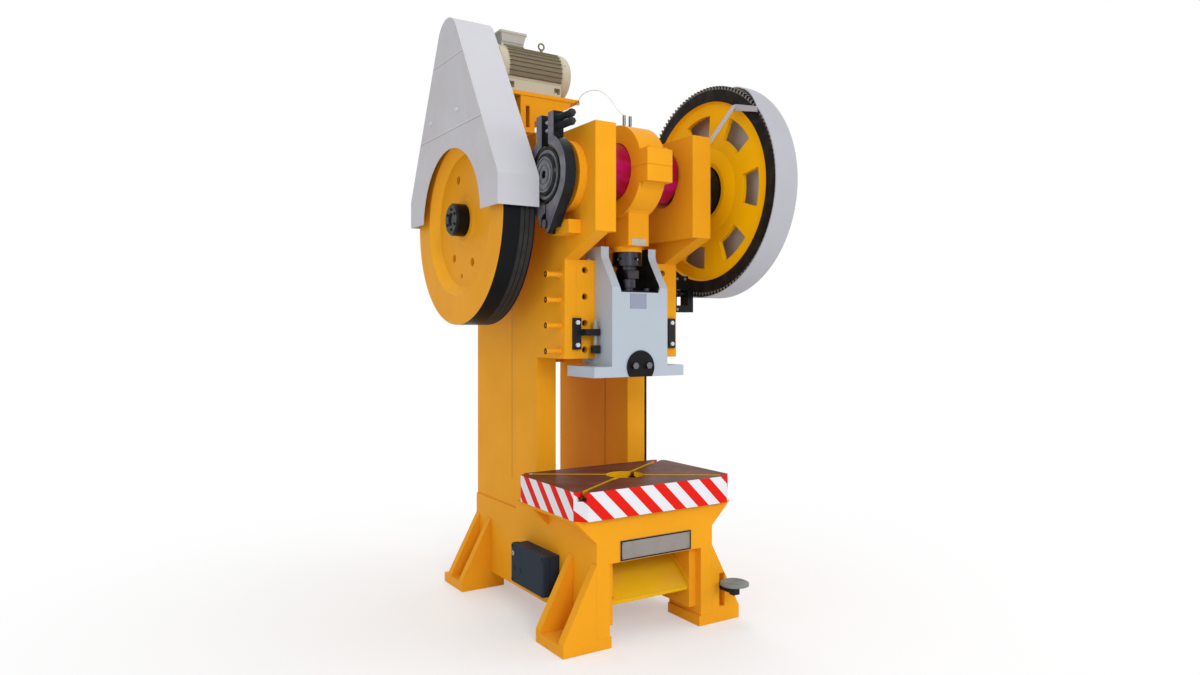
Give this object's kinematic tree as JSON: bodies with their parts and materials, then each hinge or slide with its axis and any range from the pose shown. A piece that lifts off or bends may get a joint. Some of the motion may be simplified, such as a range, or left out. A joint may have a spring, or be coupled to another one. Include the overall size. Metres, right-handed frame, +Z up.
{
  "type": "mechanical stamping press",
  "caption": "Open-front mechanical stamping press with flywheel belt drive, geared crankshaft, band brake, guided slide, slotted bolster and foot pedal.",
  "frame": {"origin": "centre of the anchor bolt pattern, on the floor under the feet", "axes": "+Z up, -Y towards the operator at the front, +X to the operator's right, the gear side"},
  "size_m": [1.31, 1.74, 3.0619],
  "materials": {
    "frame_paint": "satin",
    "chute_paint": "satin",
    "slide_paint": "satin",
    "guard_paint": "satin",
    "motor_paint": "satin",
    "bolster_paint": "satin",
    "eccentric_paint": "satin",
    "control_paint": "satin",
    "dish_paint": "satin",
    "black_steel": "satin",
    "bright_steel": "brushed",
    "bronze": "satin",
    "brass": "satin",
    "lining": "matte",
    "belt_rubber": "matte",
    "plate_metal": "brushed",
    "hose_plastic": "satin"
  },
  "bodies": {
    "frame": {"side_plate_left": "frame_paint", "side_plate_right": "frame_paint", "front_panel": "frame_paint", "bed_plate": "frame_paint", "frame_ties": "frame_paint", "feet": "frame_paint", "scrap_chute": "chute_paint", "bolster_plate": "bolster_paint", "gibs": "frame_paint", "gib_screws": "black_steel", "gib_adjusters": "frame_paint", "knockout_brackets": "black_steel", "knockout_stop": "black_steel", "frame_bolts": "bright_steel", "shaft_bushes": "bronze", "brake_linings": "lining", "brake_shoe_front": "black_steel", "brake_shoe_rear": "black_steel", "brake_pin": "black_steel", "brake_studs": "black_steel", "brake_springs": "black_steel", "drive_belts": "belt_rubber", "gear_guard": "guard_paint", "belt_guard": "guard_paint", "motor_bracket": "frame_paint", "motor_body": "motor_paint", "fan_cowl": "motor_paint", "terminal_box": "motor_paint", "control_box": "control_paint", "name_plate": "plate_metal", "linkage_pivots": "black_steel", "trip_bracket": "black_steel", "oil_fitting": "brass", "oil_hose": "hose_plastic"},
    "crank": {"crankshaft": "eccentric_paint", "brake_drum": "black_steel", "clutch_disc": "black_steel"},
    "pitman": {"pitman_body": "frame_paint", "pitman_cap": "frame_paint", "pitman_bush": "bronze", "pitman_bolts": "black_steel", "adjusting_screw": "bright_steel", "screw_nut": "black_steel", "oil_cups": "bright_steel"},
    "slide": {"slide_body": "slide_paint", "shank_clamp": "black_steel", "slide_screws": "black_steel", "ball_seat": "black_steel", "ball_retainer": "black_steel"},
    "flywheel_shaft": {"flywheel": "frame_paint", "flywheel_cap": "black_steel", "countershaft": "bright_steel"},
    "gear": {"bull_gear": "frame_paint"},
    "rotor": {"motor_rotor": "bright_steel", "motor_pulley": "black_steel"},
    "pedal": {"pedal_lever": "black_steel", "pedal_dish": "dish_paint"},
    "rod": {"pull_rod": "black_steel"},
    "rocker": {"trip_rocker": "black_steel"},
    "plunger": {"trip_plunger": "bright_steel"}
  },
  "joints": [
    {"name": "crank_turn", "type": "hinge", "parent": "frame", "child": "crank", "pos_m": [0, -0.4345, 2.175], "axis": [-1, 0, 0], "range_deg": [0, 180]},
    {"name": "pitman_turn", "type": "hinge", "parent": "crank", "child": "pitman", "pos_m": [0, -0.4345, 2.225], "axis": [-1, 0, 0], "range_deg": [-180, 0]},
    {"name": "slide_travel", "type": "slide", "parent": "frame", "child": "slide", "axis": [0, 0, 1], "range_m": [-0.1, 0]},
    {"name": "flywheel_spin", "type": "hinge", "parent": "frame", "child": "flywheel_shaft", "pos_m": [0, 0.18182, 2.018], "axis": [1, 0, 0], "continuous": true},
    {"name": "gear_spin", "type": "hinge", "parent": "frame", "child": "gear", "pos_m": [0.54, -0.4345, 2.175], "axis": [1, 0, 0], "continuous": true},
    {"name": "rotor_spin", "type": "hinge", "parent": "frame", "child": "rotor", "pos_m": [-0.3, 0.1855, 2.836], "axis": [1, 0, 0], "continuous": true},
    {"name": "pedal_press", "type": "hinge", "parent": "frame", "child": "pedal", "pos_m": [0.4, 0.1655, 0.176], "axis": [1, 0, 0], "range_deg": [0, 4], "stiffness_Nm_per_rad": 400, "springref_deg": -9.74},
    {"name": "rod_pull", "type": "slide", "parent": "frame", "child": "rod", "axis": [0, 0, 1], "range_m": [-0.0158, 0]},
    {"name": "rocker_turn", "type": "hinge", "parent": "frame", "child": "rocker", "pos_m": [0.393, -0.2195, 1.64], "axis": [-1, 0, 0], "range_deg": [0, 5.7]},
    {"name": "plunger_lift", "type": "slide", "parent": "frame", "child": "plunger", "axis": [0, 0, 1], "range_m": [0, 0.0119]}
  ],
  "couplings": [
    {"joint": "pitman_turn", "follows": "crank_turn", "ratio": -1},
    {"joint": "slide_travel", "follows": "crank_turn", "m_per_rad": -0.031831},
    {"joint": "gear_spin", "follows": "flywheel_spin", "ratio": -0.17778},
    {"joint": "rotor_spin", "follows": "flywheel_spin", "ratio": 5.4569},
    {"joint": "rod_pull", "follows": "pedal_press", "m_per_rad": -0.224},
    {"joint": "rocker_turn", "follows": "pedal_press", "ratio": 1.3913},
    {"joint": "plunger_lift", "follows": "pedal_press", "m_per_rad": 0.16696}
  ]
}
